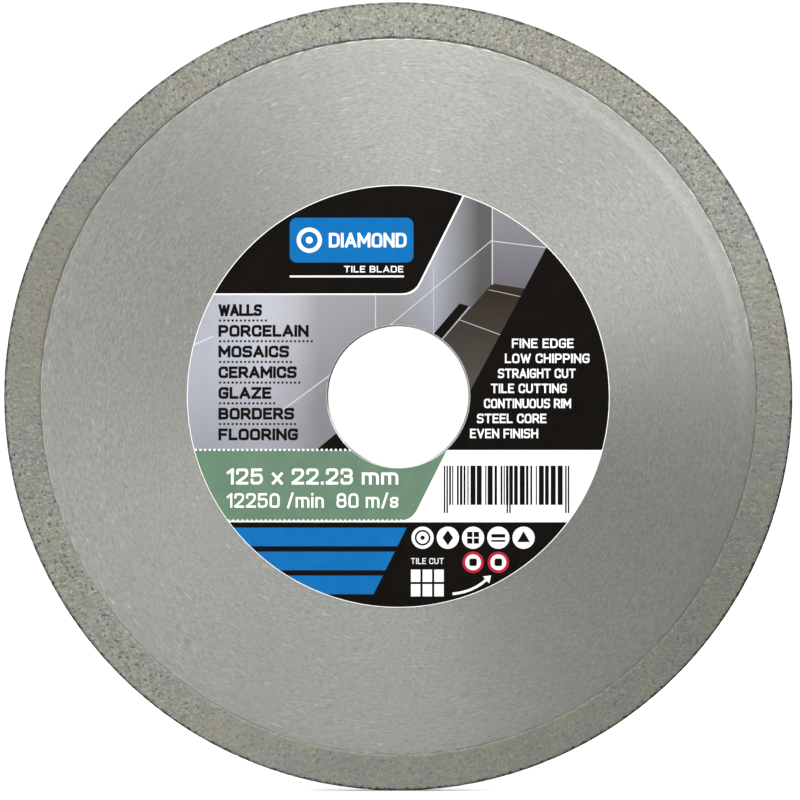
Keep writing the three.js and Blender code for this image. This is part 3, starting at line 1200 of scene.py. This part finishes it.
FLOOR_RADIUS = 4.0
BACKDROP = 1.1  # how bright the room looks to the camera
BACK_LIGHT = 0.5  # how much light comes from behind the blade
LEFT_LIGHT = 0.78  # and from its front on the left and the right
RIGHT_LIGHT = 0.12
TOP_LIGHT_POWER = 2.4
TOP_LIGHT_SPREAD = 60  # degrees
FRAME_FILL = 0.98625  # the blade's share of the picture's width
FRAME_OFFSET = Vector((0.27, 0, -0.58)) * MM
LENS = 135.0  # millimetres
SENSOR = 36.0
FRONT = -1
BACK = 1
# Each soft light: its name, its direction as a clock angle and a tilt from the blade's axis in
# degrees, its distance and size in metres, its power in watts, and its side of the blade
SOFT_LIGHTS = [
    ("key_light", 30, 25, 0.9, 0.5, 0.75, FRONT),
    ("side_light", 60, 55, 0.9, 0.5, 2.8, FRONT),
    ("upper_light", 0, 40, 0.45, 0.2, 0.2, FRONT),
    ("upper_left_light", 330, 55, 0.45, 0.2, 0.25, FRONT),
    ("left_light", 280, 25, 0.45, 0.2, 0.05, FRONT),
    ("back_key_light", 60, 40, 0.9, 0.4, 1.5, BACK),
    ("back_side_light", 330, 50, 0.9, 0.4, 2.0, BACK),
]


def add_camera():
    """Straight in front of the blade, and far enough for it to fill the picture."""
    camera = bpy.data.cameras.new("camera")
    camera.lens = LENS
    camera.sensor_width = SENSOR
    holder = add_object("camera", camera)
    distance = 2 * BLADE_RADIUS / FRAME_FILL * LENS / SENSOR
    holder.location = FRAME_OFFSET + Vector((0, -HALF_RIM - distance, 0))
    holder.rotation_euler = (math.pi / 2, 0, 0)
    bpy.context.scene.camera = holder


def add_floor():
    """A round floor that the blade's lowest point touches, which its metal doesn't reflect."""
    steps = 96
    rim = disc_shape(0, 0, FLOOR_RADIUS, steps)
    mesh = bpy.data.meshes.new("floor")
    mesh.from_pydata([(x, y, -BLADE_RADIUS) for x, y in rim], [], [tuple(range(steps))])
    floor = add_object("floor", mesh)
    mesh.materials.append(pale_floor())
    floor.visible_glossy = False


def add_soft_light(name, clock, tilt, distance, size, power, side):
    """A square soft light that points at the blade."""
    clock = math.radians(clock)
    tilt = math.radians(tilt)
    x = math.sin(clock) * math.sin(tilt)
    z = math.cos(clock) * math.sin(tilt)
    direction = Vector((x, side * math.cos(tilt), z))
    lamp = bpy.data.lights.new(name, "AREA")
    lamp.shape = "SQUARE"
    lamp.size = size
    lamp.energy = power
    holder = add_object(name, lamp)
    holder.location = direction * distance
    holder.rotation_euler = direction.to_track_quat("Z", "Y").to_euler()
    holder.visible_camera = False


def add_room():
    """A plain white room. In front of the blade its left side gives more light than its right."""
    world = bpy.data.worlds.new("room")
    world.use_nodes = True
    tree = world.node_tree
    direction = node(tree, "TexCoord").outputs["Generated"]
    across, depth, _ = parts(tree, direction)
    front = spread(tree, across, -0.8, 0.8, LEFT_LIGHT, RIGHT_LIGHT)
    behind = spread(tree, depth, 0.0, 0.35)
    light = node(tree, "Mix", {0: behind, 2: front, 3: BACK_LIGHT}).outputs[0]
    seen = node(tree, "LightPath").outputs["Is Camera Ray"]
    backdrop = times(tree, seen, BACKDROP)
    strength = maths(tree, "MAXIMUM", light, backdrop)
    fill(tree, tree.nodes["Background"], {"Strength": strength, "Color": (1, 1, 1, 1)})
    bpy.context.scene.world = world


def add_lights():
    """The soft lights, and a broad light from straight above."""
    for light in SOFT_LIGHTS:
        add_soft_light(*light)
    top = bpy.data.lights.new("top_light", "SUN")
    top.energy = TOP_LIGHT_POWER
    top.angle = math.radians(TOP_LIGHT_SPREAD)
    add_object("top_light", top).visible_camera = False


add_camera()
core_piece()
rim_piece()
grit_piece()
label_pieces()
add_floor()
add_room()
add_lights()
bpy.context.scene.view_settings.view_transform = "Standard"
